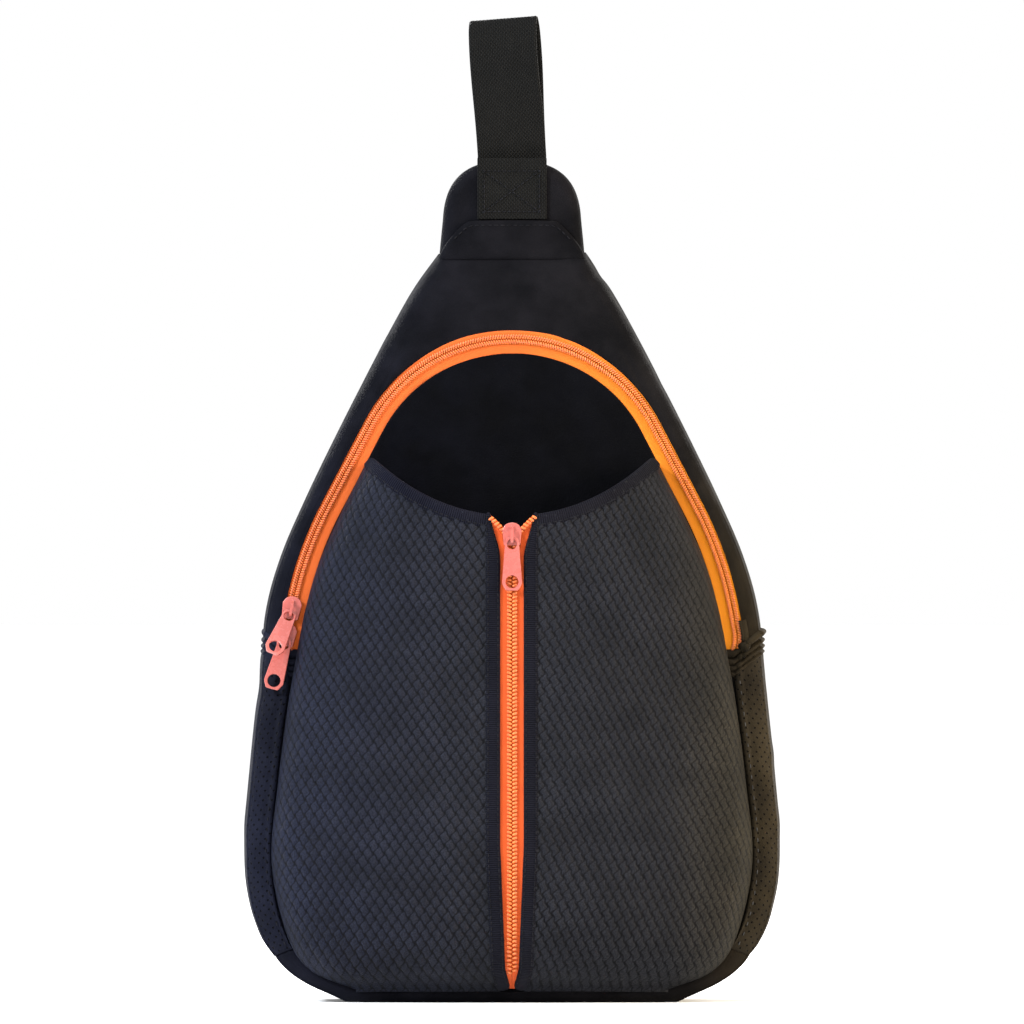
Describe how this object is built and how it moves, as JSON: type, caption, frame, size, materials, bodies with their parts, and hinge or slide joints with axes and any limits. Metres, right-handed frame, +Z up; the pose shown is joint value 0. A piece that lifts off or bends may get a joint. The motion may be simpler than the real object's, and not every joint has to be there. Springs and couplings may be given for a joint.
{
  "type": "racket sling bag",
  "caption": "Teardrop neoprene sling bag for paddles: open front pocket with a centre zip, arched main zip, grab loop and shoulder strap with a side-release buckle.",
  "frame": {"origin": "under the middle of the bag, on the surface that it stands on", "axes": "+Z up, the pocket and zips face -Y, +X to the viewer's right"},
  "size_m": [0.2878, 0.1224, 0.532],
  "materials": {
    "neoprene": "smooth matt neoprene",
    "embossed_neoprene": "embossed neoprene",
    "perforated_neoprene": "perforated neoprene",
    "binding": "knitted binding",
    "webbing": "woven webbing",
    "zip_tape": "woven zip tape",
    "zip_coil": "satin coil",
    "zip_metal": "gloss paint",
    "black_plastic": "fine-textured"
  },
  "bodies": {
    "bag": {"anchor_tab": "webbing", "arch_slider_lower": "zip_metal", "arch_zip_inner_coil_left": "zip_coil", "arch_zip_inner_coil_right": "zip_coil", "arch_zip_inner_tape_left": "zip_tape", "arch_zip_inner_tape_right": "zip_tape", "arch_zip_outer_coil": "zip_coil", "arch_zip_outer_tape": "zip_tape", "back_panel": "neoprene", "base_panel": "neoprene", "front_panel": "neoprene", "grab_loop_tail": "webbing", "pocket_hem_left": "binding", "pocket_hem_right": "binding", "pocket_panel_left": "embossed_neoprene", "pocket_panel_right": "embossed_neoprene", "pocket_zip_binding_left": "binding", "pocket_zip_binding_right": "binding", "pocket_zip_coil_left": "zip_coil", "pocket_zip_coil_right": "zip_coil", "pocket_zip_tape_left": "zip_tape", "pocket_zip_tape_right": "zip_tape", "shell_tongue": "neoprene", "side_gusset_left": "perforated_neoprene", "side_gusset_right": "perforated_neoprene", "upper_shell": "neoprene", "yoke": "neoprene", "zip_end_tab_left": "binding", "zip_end_tab_right": "binding"},
    "crown_flap": {"crown_flap": "neoprene", "arch_zip_inner_tape_crown": "zip_tape", "arch_zip_inner_coil_crown": "zip_coil"},
    "grab_loop": {"grab_loop": "webbing"},
    "pocket_slider": {"pocket_slider": "zip_metal"},
    "pocket_pull": {"pocket_pull": "zip_metal"},
    "arch_slider_upper": {"arch_slider_upper": "zip_metal"},
    "arch_pull_upper": {"arch_pull_upper": "zip_metal"},
    "arch_pull_lower": {"arch_pull_lower": "zip_metal"},
    "shoulder_strap": {"shoulder_strap": "neoprene", "strap_webbing": "webbing"},
    "strap_adjuster": {"strap_adjuster": "black_plastic"},
    "buckle_male": {"buckle_male": "black_plastic"},
    "buckle_female": {"buckle_female": "black_plastic"}
  },
  "joints": [
    {"name": "crown_flap_fold", "type": "hinge", "parent": "bag", "child": "crown_flap", "pos_m": [0, 0.00252, 0.29754], "axis": [1, 0, 0], "range_deg": [0, 80]},
    {"name": "grab_loop_fold", "type": "hinge", "parent": "bag", "child": "grab_loop", "pos_m": [0, 0.0286, 0.4576], "axis": [1, 0, 0], "range_deg": [-80, 80]},
    {"name": "pocket_slider_slide", "type": "slide", "parent": "bag", "child": "pocket_slider", "axis": [0, -0.1131, -0.9936], "range_m": [0, 0.165]},
    {"name": "pocket_pull_swing", "type": "hinge", "parent": "pocket_slider", "child": "pocket_pull", "pos_m": [0, -0.04253, 0.25018], "axis": [-1, 0, 0], "range_deg": [0, 115]},
    {"name": "arch_slider_slide", "type": "slide", "parent": "bag", "child": "arch_slider_upper", "axis": [0.1822, 0.1112, 0.9769], "range_m": [0, 0.02]},
    {"name": "arch_pull_upper_swing", "type": "hinge", "parent": "arch_slider_upper", "child": "arch_pull_upper", "pos_m": [-0.11941, -0.01023, 0.21031], "axis": [-0.9239, 0.0433, 0.3802], "range_deg": [0, 85]},
    {"name": "arch_pull_lower_swing", "type": "hinge", "parent": "bag", "child": "arch_pull_lower", "pos_m": [-0.1221, -0.01187, 0.1959], "axis": [-0.9636, 0.0302, 0.2655], "range_deg": [0, 20]},
    {"name": "shoulder_strap_swing", "type": "hinge", "parent": "bag", "child": "shoulder_strap", "pos_m": [0, 0.03575, 0.4401], "axis": [1, 0, 0], "range_deg": [0, 80]},
    {"name": "strap_adjuster_slide", "type": "slide", "parent": "shoulder_strap", "child": "strap_adjuster", "axis": [0, 0, 1], "range_m": [-0.01, 0.025]},
    {"name": "buckle_male_swing", "type": "hinge", "parent": "shoulder_strap", "child": "buckle_male", "pos_m": [0, 0.0558, 0.101], "axis": [1, 0, 0], "range_deg": [-5, 90]},
    {"name": "buckle_female_swing", "type": "hinge", "parent": "bag", "child": "buckle_female", "pos_m": [0.104, 0.047, 0.074], "axis": [1, 0, 0], "range_deg": [0, 90]}
  ]
}
